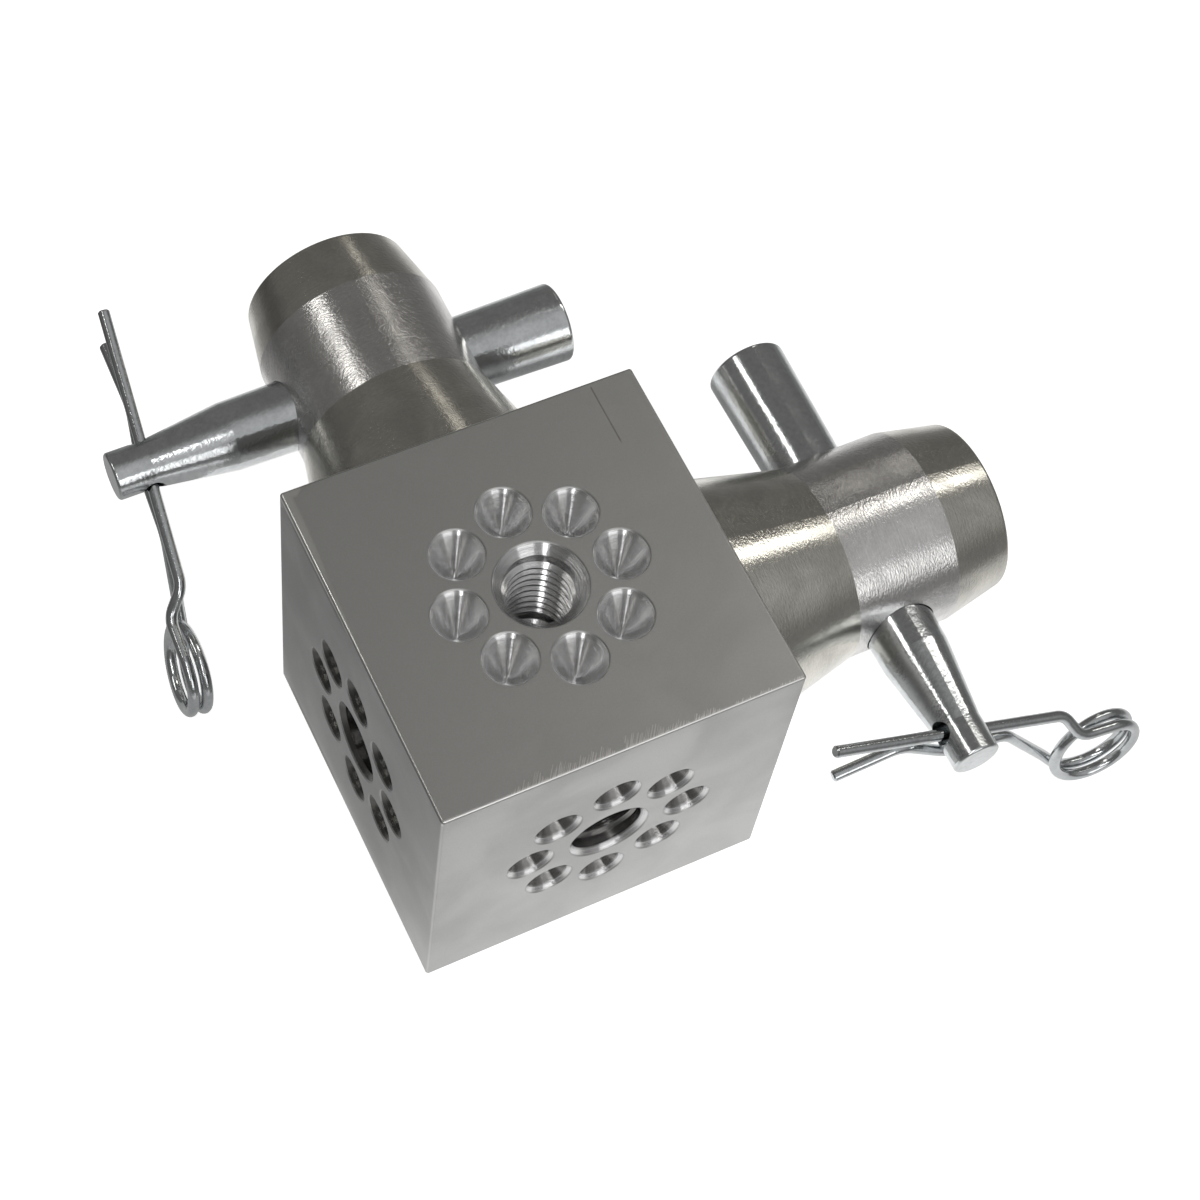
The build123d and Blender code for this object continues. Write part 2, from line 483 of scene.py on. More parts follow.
class StageSettings(bpy.types.PropertyGroup):
    """The camera, the floor and the room"""

    floor_size: bpy.props.FloatProperty(
        name="Floor size",
        description="Side of the square floor",
        default=5.0,
        unit="LENGTH",
    )
    floor_colour: bpy.props.FloatVectorProperty(
        name="Floor",
        description="Colour of the floor under lamp light",
        default=(0.80, 0.80, 0.80),
        subtype="COLOR",
    )
    floor_glow: bpy.props.FloatProperty(
        name="Floor glow",
        description="Whiteness added where the camera, or a reflection, sees the floor",
        default=0.78,
        subtype="FACTOR",
    )
    bright_reach: bpy.props.FloatProperty(
        name="Bright floor",
        description="Distance from the block up to which reflections see the whole brightness of the floor",
        default=30 * MM,
        unit="LENGTH",
    )
    dim_reach: bpy.props.FloatProperty(
        name="Dim floor",
        description="Distance from the block at which the floor has faded in reflections",
        default=190 * MM,
        unit="LENGTH",
    )
    near_share: bpy.props.FloatProperty(
        name="Near share",
        description="Share of the floor's brightness that reflections see round the block",
        default=0.90,
        subtype="FACTOR",
    )
    dim_share: bpy.props.FloatProperty(
        name="Far share",
        description="Share of the floor's brightness that reflections see far from the block",
        default=0.16,
        subtype="FACTOR",
    )
    left_shadow_share: bpy.props.FloatProperty(
        name="Left share",
        description="Share of the floor's brightness that reflections see beside the left face",
        default=0.46,
        subtype="FACTOR",
    )
    corner_share: bpy.props.FloatProperty(
        name="Corner share",
        description="Share of the floor's brightness that reflections see between the two couplers",
        default=0.28,
        subtype="FACTOR",
    )
    corner_core: bpy.props.FloatProperty(
        name="Corner core",
        description="Distance up to which the shade between the couplers is full",
        default=12 * MM,
        unit="LENGTH",
    )
    corner_rim: bpy.props.FloatProperty(
        name="Corner rim",
        description="Distance at which the shade between the couplers ends",
        default=40 * MM,
        unit="LENGTH",
    )
    room_dim: bpy.props.FloatVectorProperty(
        name="Room, dim side",
        description="Colour of the room behind the block",
        default=(0.155, 0.153, 0.148),
        subtype="COLOR",
    )
    room_bright: bpy.props.FloatVectorProperty(
        name="Room, bright side",
        description="Colour of the room in front of the block",
        default=(0.50, 0.50, 0.50),
        subtype="COLOR",
    )
    room_front: bpy.props.FloatVectorProperty(
        name="Room front",
        description="Way in which the room is brightest",
        default=(0.25, -0.60, 0.76),
        subtype="DIRECTION",
    )
    room_turn: bpy.props.FloatProperty(
        name="Room turn",
        description="Cosine of the angle from the brightest way at which the room is dim",
        default=0.55,
        subtype="FACTOR",
    )
    lens: bpy.props.FloatProperty(
        name="Lens",
        description="Focal length of the camera in millimetres",
        default=81.69,
        subtype="DISTANCE_CAMERA",
    )
    sensor_width: bpy.props.FloatProperty(
        name="Sensor width",
        description="Width of the camera's sensor in millimetres",
        default=36.0,
        subtype="DISTANCE_CAMERA",
    )
    camera_place: bpy.props.FloatVectorProperty(
        name="Camera place",
        description="Where the camera stands",
        default=(-0.10959, -0.16905, 0.41786),
        subtype="TRANSLATION",
        unit="LENGTH",
    )
    camera_turn: bpy.props.FloatVectorProperty(
        name="Camera turn",
        description="How the camera is turned, as XYZ Euler angles",
        default=(radians(28.814), radians(-5.328), radians(-25.978)),
        subtype="EULER",
        unit="ROTATION",
    )


# Small helpers for shader nodes


def add_node(tree, kind, values=None, **options):
    """Adds a node, sets its options, and gives its sockets a value or a link"""
    node = tree.nodes.new(kind)
    for option, value in options.items():
        setattr(node, option, value)
    for socket, value in (values or {}).items():
        if isinstance(value, bpy.types.NodeSocket):
            tree.links.new(value, node.inputs[socket])
        else:
            node.inputs[socket].default_value = value
    return node


def calculate(tree, operation, first, second=0.0):
    """Result of a Math node"""
    return add_node(tree, "ShaderNodeMath", {0: first, 1: second}, operation=operation).outputs[0]


def multiply(tree, *factors):
    """Product of two values or more"""
    product = factors[0]
    for factor in factors[1:]:
        product = calculate(tree, "MULTIPLY", product, factor)
    return product


def fade(tree, value, start, end, low=0.0, high=1.0):
    """Smooth step from low at the start to high at the end"""
    values = {"Value": value, "From Min": start, "From Max": end, "To Min": low, "To Max": high}
    node = add_node(tree, "ShaderNodeMapRange", values, interpolation_type="SMOOTHSTEP")
    return node.outputs["Result"]


def vector_math(tree, operation, first, second=(0, 0, 0)):
    """Result of a Vector Math node: a number for a distance or a dot product, else a vector"""
    node = add_node(tree, "ShaderNodeVectorMath", {0: first, 1: second}, operation=operation)
    return node.outputs["Value" if operation in ("DISTANCE", "DOT_PRODUCT") else "Vector"]


def scaled(tree, vector, factor):
    """Vector made longer or shorter"""
    values = {0: vector, "Scale": factor}
    return add_node(tree, "ShaderNodeVectorMath", values, operation="SCALE").outputs["Vector"]


def split(tree, vector):
    """The three parts of a vector"""
    return add_node(tree, "ShaderNodeSeparateXYZ", {0: vector}).outputs


def moved(tree, vector, **change):
    """Vector after a Mapping node's location, rotation or scale"""
    values = {"Vector": vector, **{name.title(): value for name, value in change.items()}}
    return add_node(tree, "ShaderNodeMapping", values).outputs["Vector"]


def noise_along(tree, value, size):
    """Noise that changes along one value, with features of about that size"""
    values = {"W": calculate(tree, "DIVIDE", value, size), "Scale": 1.0, "Detail": 2.0}
    return add_node(tree, "ShaderNodeTexNoise", values, noise_dimensions="1D").outputs["Fac"]


def blend(tree, factor, first, second, blend_type="MIX"):
    """Colour between two colours"""
    values = {"Factor": factor}

    # A Mix node holds its two colours in sockets 6 and 7, and gives the mixed colour as output 2
    for socket, colour in ((6, first), (7, second)):
        values[socket] = colour if isinstance(colour, bpy.types.NodeSocket) else (*colour, 1)
    return add_node(tree, "ShaderNodeMix", values, data_type="RGBA", blend_type=blend_type).outputs[2]


def tint(tree, colour, *tones):
    """Colour made lighter or darker by tones around 1"""
    for tone in tones:
        grey = add_node(tree, "ShaderNodeCombineColor", {0: tone, 1: tone, 2: tone}).outputs[0]
        colour = blend(tree, 1.0, colour, grey, "MULTIPLY")
    return colour


def cleared_tree(owner, output_kind):
    """Node tree of a material or world, empty but for its output, and that output's Surface socket"""
    owner.use_nodes = True
    tree = owner.node_tree
    tree.nodes.clear()
    return tree, tree.nodes.new(output_kind).inputs["Surface"]


def new_group(name, inputs, outputs):
    """Empty shader node group with its sockets; gives the group, its input node and its output node"""
    group = bpy.data.node_groups.new(name, "ShaderNodeTree")
    for socket_name, kind, default in inputs:
        socket = group.interface.new_socket(socket_name, in_out="INPUT", socket_type=kind)
        if default is not None:
            socket.default_value = default
    for socket_name in outputs:
        group.interface.new_socket(socket_name, in_out="OUTPUT", socket_type="NodeSocketFloat")
    return group, group.nodes.new("NodeGroupInput"), group.nodes.new("NodeGroupOutput")


# Effects that several finishes share


def connect_height_and_tone(group, source, sink, height):
    """Gives a group's outputs a noise height and the tone around 1 that follows it"""
    above_middle = calculate(group, "SUBTRACT", height, 0.5)
    change = multiply(group, above_middle, NOISE_SWING, source.outputs["Contrast"])
    group.links.new(height, sink.inputs["Height"])
    group.links.new(calculate(group, "ADD", change, 1.0), sink.inputs["Tone"])


def build_grain(name):
    """Fine grain: a height for the bump and a tone around 1 for the colour"""
    group, source, sink = new_group(
        name,
        (
            ("Vector", "NodeSocketVector", None),
            ("Grain Size", "NodeSocketFloat", 0.3 * MM),
            ("Contrast", "NodeSocketFloat", 0.1),
        ),
        ("Height", "Tone"),
    )
    scale = calculate(group, "DIVIDE", 1.0, source.outputs["Grain Size"])
    noise = add_node(
        group,
        "ShaderNodeTexNoise",
        {"Vector": source.outputs["Vector"], "Scale": scale, "Detail": 3.0, "Roughness": 0.6},
    )
    connect_height_and_tone(group, source, sink, noise.outputs["Fac"])
    return group


def build_turning_rings(name):
    """Rings that a lathe tool leaves along an axis: a height and a tone around 1"""
    group, source, sink = new_group(
        name,
        (
            ("Distance", "NodeSocketFloat", 0.0),
            ("Feed", "NodeSocketFloat", 0.2 * MM),
            ("Contrast", "NodeSocketFloat", 0.05),
        ),
        ("Height", "Tone"),
    )
    rings = noise_along(group, source.outputs["Distance"], source.outputs["Feed"])
    connect_height_and_tone(group, source, sink, rings)
    return group


def build_handling_marks(name):
    """Soft blotches from handling: a tone around 1 and what they add to roughness"""
    group, source, sink = new_group(
        name,
        (
            ("Vector", "NodeSocketVector", None),
            ("Blotch Size", "NodeSocketFloat", 14 * MM),
            ("Contrast", "NodeSocketFloat", 0.08),
        ),
        ("Tone", "Roughness"),
    )
    scale = calculate(group, "DIVIDE", 1.0, source.outputs["Blotch Size"])
    blotches = add_node(
        group,
        "ShaderNodeTexNoise",
        {"Vector": source.outputs["Vector"], "Scale": scale, "Detail": 4.0, "Distortion": 0.6},
    )
    swing = calculate(group, "SUBTRACT", fade(group, blotches.outputs["Fac"], 0.3, 0.7), 0.5)
    change = multiply(group, swing, source.outputs["Contrast"])
    group.links.new(calculate(group, "ADD", change, 1.0), sink.inputs["Tone"])
    group.links.new(multiply(group, change, BLOTCH_GLOSS), sink.inputs["Roughness"])
    return group


EFFECTS = {
    "Metal Grain": build_grain,
    "Turning Rings": build_turning_rings,
    "Handling Marks": build_handling_marks,
}


def use_effect(tree, name, **values):
    """Places a shared effect in a material with that material's own values; built at its first use"""
    group = bpy.data.node_groups.get(name) or EFFECTS[name](name)
    named = {socket_name.replace("_", " ").title(): value for socket_name, value in values.items()}
    return add_node(tree, "ShaderNodeGroup", named, node_tree=group).outputs


def new_finish(name):
    """Material with only a metal shader; gives it, its tree, the shader and the object's coordinates"""
    finish = bpy.data.materials.new(name)
    tree, surface = cleared_tree(finish, "ShaderNodeOutputMaterial")
    shader = add_node(tree, "ShaderNodeBsdfPrincipled", {"Metallic": 1.0})
    tree.links.new(shader.outputs["BSDF"], surface)
    return finish, tree, shader, tree.nodes.new("ShaderNodeTexCoord").outputs["Object"]


def connect_finish(tree, shader, colour, roughness, height, relief, normal=None):
    """Connects a finish's colour, roughness and bump, which may start from another normal"""
    tree.links.new(colour, shader.inputs["Base Color"])
    tree.links.new(roughness, shader.inputs["Roughness"])
    bump = add_node(tree, "ShaderNodeBump", {"Height": height, "Distance": relief, "Strength": 1.0})
    if normal is not None:
        tree.links.new(normal, bump.inputs["Normal"])
    tree.links.new(bump.outputs["Normal"], shader.inputs["Normal"])


def give_finish(finish, *node_names):
    """Puts a finish in every material slot of the named CAD nodes"""
    for node_name in node_names:
        for slot in frame["nodes"][node_name].material_slots:
            slot.material = finish


# Finishes


def mask_rubbed_edge(tree, x, y, z):
    """Where the edge between the top and the left face is rubbed, more so towards the back"""
    near_left = fade(tree, x, 4 * MM - BLOCK_HALF, 2 * MM - BLOCK_HALF)
    near_top = fade(tree, z, BLOCK_HALF - 4 * MM, BLOCK_HALF - 2 * MM)
    return multiply(tree, near_left, near_top, fade(tree, y, -6 * MM, BLOCK_HALF - MM))


def mask_edge_highlight(tree, second, z, rubbed, wear_and_highlight):
    """Painted highlight along the block's edges, wider where the edge is rubbed and faint below the top
    face
    """
    width = calculate(tree, "ADD", wear_and_highlight.edge_width, multiply(tree, rubbed, wear_and_highlight.rubbed_width))
    across = calculate(tree, "DIVIDE", second, width)
    line = fade(tree, across, 1.0, 0.55)
    start, end = BLOCK_HALF - 1.5 * MM, BLOCK_HALF - 0.5 * MM
    return multiply(tree, line, fade(tree, z, start, end, wear_and_highlight.upright_share, 1.0))


def mask_chips(tree, x, y, on_top, wear_and_highlight):
    """Torn chips along the front edge of the top face: thin slanted streaks of uneven length"""
    from_front = calculate(tree, "ADD", y, BLOCK_HALF)
    slanted = calculate(tree, "SUBTRACT", x, multiply(tree, from_front, wear_and_highlight.chip_slant))
    streaks = fade(tree, noise_along(tree, slanted, wear_and_highlight.chip_width), 0.36, 0.62)
    patches = noise_along(tree, x, wear_and_highlight.chip_patch)
    lengths = fade(tree, patches, 0.32, 0.60, wear_and_highlight.shortest_chip, wear_and_highlight.longest_chip)

    # None at the left end of the edge, and shorter ones towards its right end
    zone = multiply(tree, fade(tree, x, -21 * MM, -15 * MM), fade(tree, x, 20 * MM, 4 * MM, 0.35, 1.0))
    reach = multiply(tree, zone, streaks, lengths)
    torn = fade(tree, calculate(tree, "SUBTRACT", from_front, reach), SOFT_BORDER, -SOFT_BORDER)
    return multiply(tree, on_top, wear_and_highlight.chip_strength, torn)


def mask_under_edge(tree, x, y, below_top):
    """Dark line on the left face, under the rubbed edge"""
    return multiply(
        tree,
        fade(tree, y, 3 * MM, 10 * MM),
        fade(tree, y, 29 * MM, 24 * MM),
        fade(tree, x, -SKIN_START, -SKIN_FULL),
        fade(tree, below_top, 2.6 * MM, 1.5 * MM),
    )


def mask_scratch(tree, x, y, on_top, wear_and_highlight):
    """Scribed line near the back right corner of the top face"""
    start = Vector(wear_and_highlight.scratch_start) - BLOCK_CENTRE
    across = calculate(tree, "ABSOLUTE", calculate(tree, "SUBTRACT", x, start.x))
    along = calculate(tree, "SUBTRACT", y, start.y)
    return multiply(
        tree,
        on_top,
        fade(tree, across, wear_and_highlight.scratch_width, 0.3 * wear_and_highlight.scratch_width),
        fade(tree, along, -0.2 * MM, 0.8 * MM),
        fade(tree, along, wear_and_highlight.scratch_length + 0.5 * MM, wear_and_highlight.scratch_length),
    )


def block_depths(tree, centred):
    """Depth below each pair of faces, below the nearest face and below the second nearest"""
    half = (BLOCK_HALF, BLOCK_HALF, BLOCK_HALF)
    below = split(tree, vector_math(tree, "SUBTRACT", half, vector_math(tree, "ABSOLUTE", centred)))
    below_x, below_y, below_z = below
    nearest_pair = calculate(tree, "MINIMUM", below_x, below_y)
    farther_pair = calculate(tree, "MAXIMUM", below_x, below_y)
    nearest = calculate(tree, "MINIMUM", nearest_pair, below_z)
    second = calculate(tree, "MAXIMUM", nearest_pair, calculate(tree, "MINIMUM", farther_pair, below_z))
    return below, nearest, second


def bore_tone(tree, z, depth, axis_parts, settings):
    """Bore colour with painted shade: darkened deep in the bores of the front, back and bottom faces,
    darkest in those of the left and right faces; the top face's bores and the rims of the front, back and
    bottom bores keep the plain bore colour
    """
    sideways, _, upright = axis_parts
    top_bore = multiply(tree, upright, fade(tree, z, -MM, MM))
    not_sideways = calculate(tree, "SUBTRACT", 1.0, sideways)
    rim = multiply(tree, fade(tree, depth, 1.1 * MM, 0.6 * MM), not_sideways)
    unshaded = calculate(tree, "MAXIMUM", top_bore, rim)
    painted_bore_shade = blend(tree, sideways, settings.shaded_side_bore_colour, settings.shaded_left_bore_colour)
    rings = use_effect(tree, "Turning Rings", distance=depth, feed=0.25 * MM, contrast=0.04)
    return tint(tree, blend(tree, unshaded, painted_bore_shade, settings.bore_colour), rings["Tone"])


def bore_normal(tree, facing, depth, axis_parts, strength):
    """World normal that the finest turning marks tilt along a bore's axis only, never round it"""
    rings = use_effect(tree, "Turning Rings", distance=depth, feed=0.02 * MM, contrast=0.0)
    slope = multiply(tree, calculate(tree, "SUBTRACT", rings["Height"], 0.5), strength)
    axis = add_node(tree, "ShaderNodeCombineXYZ", dict(enumerate(axis_parts))).outputs[0]
    straight = scaled(tree, facing, vector_math(tree, "DOT_PRODUCT", axis, facing))
    along_wall = vector_math(tree, "SUBTRACT", axis, straight)
    tilted = vector_math(tree, "ADD", facing, scaled(tree, along_wall, slope))
    options = {"vector_type": "NORMAL", "convert_from": "OBJECT", "convert_to": "WORLD"}
    return add_node(tree, "ShaderNodeVectorTransform", {"Vector": tilted}, **options).outputs[0]


def make_block_finish(settings, wear_and_highlight):
    """Fine-milled aluminium, with shiny bored holes darkened by painted shade in the side faces, a painted
    highlight along each edge, the rubbed edge, chips, a dark line under the rubbed edge and a scribed line
    """
    finish, tree, shader, place = new_finish("milled_block")
    centred = moved(tree, place, location=-BLOCK_CENTRE)
    x, y, z = split(tree, centred)

    # Depth below the nearest face tells a bored surface, the second nearest face tells an edge.
    # The axis of a bore is that of the face it opens in
    below, depth, second = block_depths(tree, centred)
    bored = fade(tree, depth, 0.17 * MM, 0.24 * MM)
    limit = calculate(tree, "ADD", depth, 0.001 * MM)
    axis_parts = [calculate(tree, "LESS_THAN", part, limit) for part in below]

    on_top = fade(tree, z, SKIN_START, SKIN_FULL)
    rubbed = mask_rubbed_edge(tree, x, y, z)
    # Painted highlight along the block's edges, joined by the real torn chips, which take the same bright
    # colour
    edges = mask_edge_highlight(tree, second, z, rubbed, wear_and_highlight)
    worn_or_highlit = calculate(tree, "MAXIMUM", edges, mask_chips(tree, x, y, on_top, wear_and_highlight))
    scratch = mask_scratch(tree, x, y, on_top, wear_and_highlight)
    under_edge = mask_under_edge(tree, x, y, below[2])

    grain = use_effect(tree, "Metal Grain", vector=centred, grain_size=0.22 * MM, contrast=0.05)
    marks = use_effect(tree, "Handling Marks", vector=centred, blotch_size=16 * MM, contrast=0.10)
    milled = blend(tree, scratch, settings.face_colour, wear_and_highlight.scratch_colour)
    milled = tint(tree, milled, grain["Tone"], marks["Tone"])
    # Darker line on the left face under the rubbed edge
    milled = blend(tree, under_edge, milled, wear_and_highlight.under_edge_colour)
    # Painted edge highlight and chips lighten the milled skin, most where the top left edge is rubbed
    skin = blend(tree, worn_or_highlit, milled, blend(tree, rubbed, wear_and_highlight.edge_highlight_colour, wear_and_highlight.rubbed_colour))
    colour = blend(tree, bored, skin, bore_tone(tree, z, depth, axis_parts, settings))

    face_roughness = calculate(tree, "ADD", marks["Roughness"], settings.face_roughness)
    skin_roughness = calculate(tree, "SUBTRACT", face_roughness, multiply(tree, worn_or_highlit, wear_and_highlight.polish))
    skin_share = multiply(tree, skin_roughness, calculate(tree, "SUBTRACT", 1.0, bored))
    bore_share = multiply(tree, bored, settings.bore_roughness)
    roughness = calculate(tree, "ADD", skin_share, bore_share)

    strength = multiply(tree, bored, settings.bore_spread)
    normal = bore_normal(tree, place.node.outputs["Normal"], depth, axis_parts, strength)
    fine = multiply(tree, grain["Height"], settings.grain_depth)
    height = calculate(tree, "ADD", fine, multiply(tree, scratch, -wear_and_highlight.scratch_depth))
    connect_finish(tree, shader, colour, roughness, height, settings.relief, normal)
    return finish


def make_coupler_finish(side, settings):
    """Turned and polished aluminium, with a satin band, for the coupler on one side of the block"""
    finish, tree, shader, place = new_finish(side + "_turned_coupler")
    low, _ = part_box(side + "_coupler")
    if side == "right":
        seat, turn = Vector((low.x, 0, BLOCK_CENTRE.z)), 0.0
    else:
        seat, turn = Vector((0, low.y, BLOCK_CENTRE.z)), -pi / 2

    # X runs out along the coupler from the block's face, whichever way the coupler points
    local = moved(tree, moved(tree, place, location=-seat), rotation=(0, 0, turn))
    distance = split(tree, local)[0]
    start, end = settings.band_start, settings.band_end
    band = multiply(
        tree,
        fade(tree, distance, start - SOFT_BORDER, start + SOFT_BORDER),
        fade(tree, distance, end + SOFT_BORDER, end - SOFT_BORDER),
    )

    # Grain drawn out round the coupler, as the last polishing cut leaves it
    drawn = moved(tree, local, scale=(settings.grain_draw, 1, 1))
    grain = use_effect(tree, "Metal Grain", vector=drawn, grain_size=0.7 * MM, contrast=0.08)
    rings = use_effect(tree, "Turning Rings", distance=distance, feed=0.35 * MM, contrast=0.03)
    marks = use_effect(tree, "Handling Marks", vector=local, blotch_size=8 * MM, contrast=0.24)
    colour = blend(tree, band, settings.turned_colour, settings.band_colour)
    colour = tint(tree, colour, grain["Tone"], rings["Tone"], marks["Tone"])

    rougher = multiply(tree, band, settings.band_roughness - settings.turned_roughness)
    roughness = calculate(tree, "ADD", settings.turned_roughness, rougher)
    roughness = calculate(tree, "ADD", roughness, marks["Roughness"])
    fine = multiply(tree, grain["Height"], fade(tree, band, 0.0, 1.0, 0.6, 0.9))
    height = calculate(tree, "ADD", fine, multiply(tree, rings["Height"], 0.15))
    connect_finish(tree, shader, colour, roughness, height, settings.relief)
    return finish


def make_even_finish(name, colour, roughness, relief, grain, marks):
    """Even metal with a fine orange-peel grain and duller patches; grain and marks set the effects"""
    finish, tree, shader, place = new_finish(name)
    fine = use_effect(tree, "Metal Grain", vector=place, **grain)
    patches = use_effect(tree, "Handling Marks", vector=place, **marks)
    tinted = tint(tree, colour, fine["Tone"], patches["Tone"])
    rough = calculate(tree, "ADD", patches["Roughness"], roughness)
    connect_finish(tree, shader, tinted, rough, fine["Height"], relief)
    return finish


# Thread ridges


def make_thread_ridge(settings):
    """One inside thread as a coiled ridge, round +Z, with the block's face at height 0"""
    pitch = settings.pitch
    half_foot, half_crest = pitch * 7 / 16, pitch / 8
    ridge = bmesh.new()
    section = [
        ridge.verts.new((radius, 0, rise - settings.first_depth))
        for radius, rise in (
            (settings.root_radius, half_foot),
            (settings.crest_radius, half_crest),
            (settings.crest_radius, -half_crest),
            (settings.root_radius, -half_foot),
        )
    ]
    start = ridge.faces.new(section)
    turns = (settings.last_depth - settings.first_depth) / pitch
    steps = round(turns * settings.steps_per_turn)
    bmesh.ops.spin(
        ridge,
        geom=[start, *start.edges, *start.verts],
        cent=(0, 0, 0),
        axis=(0, 0, 1),
        dvec=(0, 0, -pitch / settings.steps_per_turn),
        angle=-2 * pi * steps / settings.steps_per_turn,
        steps=steps,
    )

    # The crest rises out of the wall at both ends
    middle = (settings.root_radius + settings.crest_radius) / 2
    ridge.verts.index_update()
    for vert in ridge.verts:
        radius = hypot(vert.co.x, vert.co.y)
        if radius < middle:
            step = vert.index // len(section)
            rise = min(1, step / settings.ease_steps, (steps - step) / settings.ease_steps)
            eased = settings.root_radius + (settings.crest_radius - settings.root_radius) * rise
            vert.co.xy *= eased / radius
    bmesh.ops.recalc_face_normals(ridge, faces=ridge.faces)
    ridge.transform(Matrix.Rotation(settings.first_turn, 4, "Z"))
    return ridge


def add_piece(name, shape, body, finish):
    """Turns a bmesh into a finished piece that rides with a body of the frame"""
    mesh = bpy.data.meshes.new(name)
    shape.to_mesh(mesh)
    shape.free()
    mesh.materials.append(finish)
    mesh.shade_smooth()
    mesh.set_sharp_from_angle(angle=SHARP_ANGLE)
    piece = bpy.data.objects.new(name, mesh)
    bpy.context.scene.collection.objects.link(piece)
    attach(piece, body)
    return piece


class JUNCTION_OT_block(bpy.types.Operator):
    """Gives the block its milled finish and its four open threaded holes their ridges"""

    bl_idname = "junction.block"
    bl_label = "Block and Threads"

    def execute(self, context):
        scene = context.scene
        finish = make_block_finish(scene.junction_block, scene.junction_wear)
        give_finish(finish, "junction_block")
        for face in OPEN_FACES:
            axis = Vector(MOUNTS[face + "_thread"]["axis"])
            mouth = Vector(MOUNTS[face + "_socket_ring"]["pos_m"])
            ridge = make_thread_ridge(scene.junction_thread)
            turn = Vector((0, 0, 1)).rotation_difference(axis).to_matrix().to_4x4()
            ridge.transform(Matrix.Translation(mouth) @ turn)
            add_piece(face + "_thread_ridge", ridge, "block", finish)
        return {"FINISHED"}


class JUNCTION_OT_couplers(bpy.types.Operator):
    """Gives the two half couplers their turned finish and satin band"""

    bl_idname = "junction.couplers"
    bl_label = "Half Couplers"

    def execute(self, context):
        for side in SIDES:
            finish = make_coupler_finish(side, context.scene.junction_coupler)
            give_finish(finish, side + "_coupler")
        return {"FINISHED"}


class JUNCTION_OT_pins_and_clips(bpy.types.Operator):
    """Gives the cross pins and their spring clips their bright, bluish zinc plating"""

    bl_idname = "junction.pins_and_clips"
    bl_label = "Cross Pins and Spring Clips"

    def execute(self, context):
        zinc = context.scene.junction_zinc
        marks = {"blotch_size": 4 * MM, "contrast": 0.14}
        grain = {"grain_size": 0.8 * MM, "contrast": 0.08}
        pin = make_even_finish(
            "zinc_pin", zinc.pin_colour, zinc.pin_roughness, zinc.pin_relief, grain, marks
        )
        grain = {"grain_size": 0.6 * MM, "contrast": 0.08}
        wire = make_even_finish(
            "zinc_wire", zinc.wire_colour, zinc.wire_roughness, zinc.wire_relief, grain, marks
        )
        give_finish(pin, *(side + "_cross_pin" for side in SIDES))
        give_finish(wire, *(side + "_spring_clip" for side in SIDES))
        return {"FINISHED"}


class JUNCTION_OT_fixings(bpy.types.Operator):
    """Gives the screws, washers and locating pins inside the couplers their plain, darker steel"""

    bl_idname = "junction.fixings"
    bl_label = "Fixings"

    def execute(self, context):
        hardware = context.scene.junction_hardware
        steel = make_even_finish(
            "fixing_steel",
            hardware.steel_colour,
            hardware.steel_roughness,
            hardware.steel_relief,
            grain={"grain_size": 0.3 * MM, "contrast": 0.06},
            marks={"blotch_size": 5 * MM, "contrast": 0.16},
        )
        kinds = ("_fixing_screw", "_lock_washer", "_locating_pin")
        give_finish(steel, *(side + kind for side in SIDES for kind in kinds))
        return {"FINISHED"}


# Camera, floor, room and lamps


def add_camera(settings):
    """Camera that sees the object as the photo does"""
    camera = bpy.data.cameras.new("camera")
    camera.lens = settings.lens
    camera.sensor_width = settings.sensor_width
    camera.clip_start = 10 * MM
    place = bpy.data.objects.new("camera", camera)
    place.location = settings.camera_place
    place.rotation_euler = settings.camera_turn
    bpy.context.scene.collection.objects.link(place)
    bpy.context.scene.camera = place


def add_lamp(name, start, end, width, radiance, colour=(1, 1, 1), in_reflections=True):
    """Rectangular lamp between two places, facing the block; radiance is how bright it looks"""
    start, end = Vector(start), Vector(end)
    middle = (start + end) / 2
    back = (middle - BLOCK_CENTRE).normalized()
    along = (end - start).normalized()
    across = back.cross(along).normalized()
    along = across.cross(back)
    length = (end - start).length
    lamp = bpy.data.lights.new(name, "AREA")
    lamp.shape = "RECTANGLE"
    lamp.size = length
    lamp.size_y = width
    lamp.energy = radiance * pi * length * width
    lamp.color = colour
    place = bpy.data.objects.new(name, lamp)
    turn = Matrix((along, across, back)).transposed().to_4x4()
    place.matrix_world = Matrix.Translation(middle) @ turn
    place.visible_glossy = in_reflections
    bpy.context.scene.collection.objects.link(place)


def towards(azimuth, elevation, distance):
    """Place at a distance from the block's centre, by its angles in degrees"""
    turn = Euler((0, -radians(elevation), radians(azimuth)))
    return BLOCK_CENTRE + turn.to_matrix() @ Vector((distance, 0, 0))


